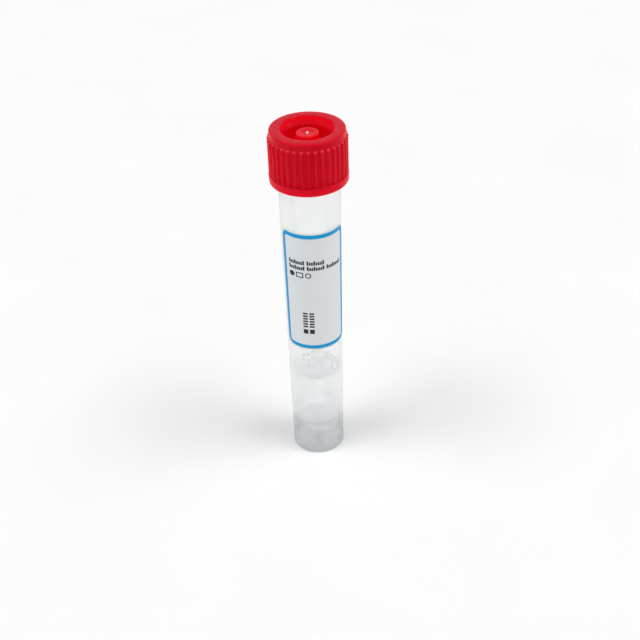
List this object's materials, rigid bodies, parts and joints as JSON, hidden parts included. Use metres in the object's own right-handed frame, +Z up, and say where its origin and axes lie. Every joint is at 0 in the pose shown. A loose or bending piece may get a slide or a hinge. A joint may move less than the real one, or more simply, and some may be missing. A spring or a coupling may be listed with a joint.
{
  "type": "specimen swab tube",
  "caption": "Self-standing specimen transport tube with a conical well of clear medium, a blue-bordered paper label and a ribbed screw cap with a plug seal and a swab socket.",
  "frame": {"origin": "centre of the foot, on the surface that the tube stands on", "axes": "+Z up along the tube's axis to the cap; -Y is the label's front; +X is to the right of the label's front"},
  "size_m": [0.0202, 0.0202, 0.101],
  "materials": {
    "tube_plastic": "satin",
    "medium": "gloss",
    "label_paper": "satin",
    "blue_print": "satin",
    "dark_print": "satin",
    "silicone": "matte",
    "cap_plastic": "satin"
  },
  "bodies": {
    "tube_body": {"tube": "tube_plastic", "transport_medium": "medium", "label": "label_paper", "label_border": "blue_print", "label_marks": "dark_print"},
    "seal_body": {"seal_ring": "silicone"},
    "cap_body": {"screw_cap": "cap_plastic"}
  },
  "joints": [
    {"name": "cap_lift", "type": "slide", "parent": "tube_body", "child": "seal_body", "axis": [0, 0, 1], "range_m": [0, 0.012]},
    {"name": "cap_turn", "type": "hinge", "parent": "seal_body", "child": "cap_body", "pos_m": [0, 0, 0.094], "axis": [0, 0, 1], "range_deg": [0, 1440]}
  ],
  "couplings": [
    {"joint": "cap_lift", "follows": "cap_turn", "m_per_rad": 0.00047746}
  ]
}
